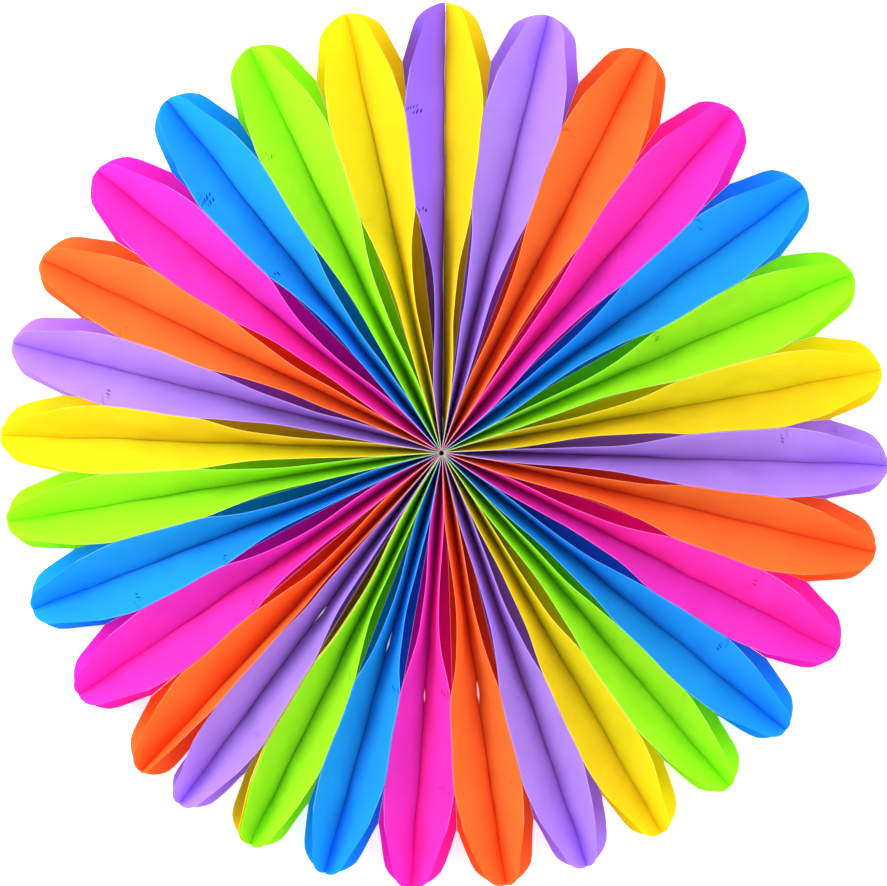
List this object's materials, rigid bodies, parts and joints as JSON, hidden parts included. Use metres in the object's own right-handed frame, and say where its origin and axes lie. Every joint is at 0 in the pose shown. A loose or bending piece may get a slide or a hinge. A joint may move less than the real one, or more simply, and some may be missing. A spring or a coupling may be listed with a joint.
{
  "type": "paper fan rosette",
  "caption": "Round rosette of coloured paper petals, a glued leaf fan opened through a full circle and joined at a seam, to hang or lay as a party decoration.",
  "frame": {"origin": "on the hub axis, at the level of the leaves' back edges, which lie on the floor", "axes": "+Z along the hub axis out of the front, +Y from the hub along the seam"},
  "size_m": [0.3998, 0.3995, 0.05],
  "materials": {
    "paper_purple": "matte",
    "paper_orange": "matte",
    "paper_magenta": "matte",
    "paper_blue": "matte",
    "paper_green": "matte",
    "paper_yellow": "matte",
    "adhesive_strip": "matte",
    "dried_glue": "satin"
  },
  "bodies": {
    "root": {"petal_01_purple": "paper_purple", "petal_02_orange": "paper_orange", "petal_03_magenta": "paper_magenta", "petal_04_blue": "paper_blue", "petal_05_green": "paper_green", "petal_06_yellow": "paper_yellow", "petal_07_purple": "paper_purple", "petal_08_orange": "paper_orange", "petal_09_magenta": "paper_magenta", "petal_10_blue": "paper_blue", "petal_11_green": "paper_green", "petal_12_yellow": "paper_yellow", "petal_13_purple": "paper_purple", "petal_14_orange": "paper_orange", "petal_15_magenta": "paper_magenta", "petal_16_blue": "paper_blue", "petal_17_green": "paper_green", "petal_18_yellow": "paper_yellow", "petal_19_purple": "paper_purple", "petal_20_orange": "paper_orange", "petal_21_magenta": "paper_magenta", "petal_22_blue": "paper_blue", "petal_23_green": "paper_green", "petal_24_yellow": "paper_yellow", "petal_25_purple": "paper_purple", "petal_26_orange": "paper_orange", "petal_27_magenta": "paper_magenta", "petal_28_blue": "paper_blue", "petal_29_green": "paper_green", "petal_30_yellow": "paper_yellow", "seam_leaf_yellow": "paper_yellow", "seam_leaf_purple": "paper_purple", "seam_strip": "adhesive_strip", "spine_glue": "dried_glue"}
  },
  "joints": []
}
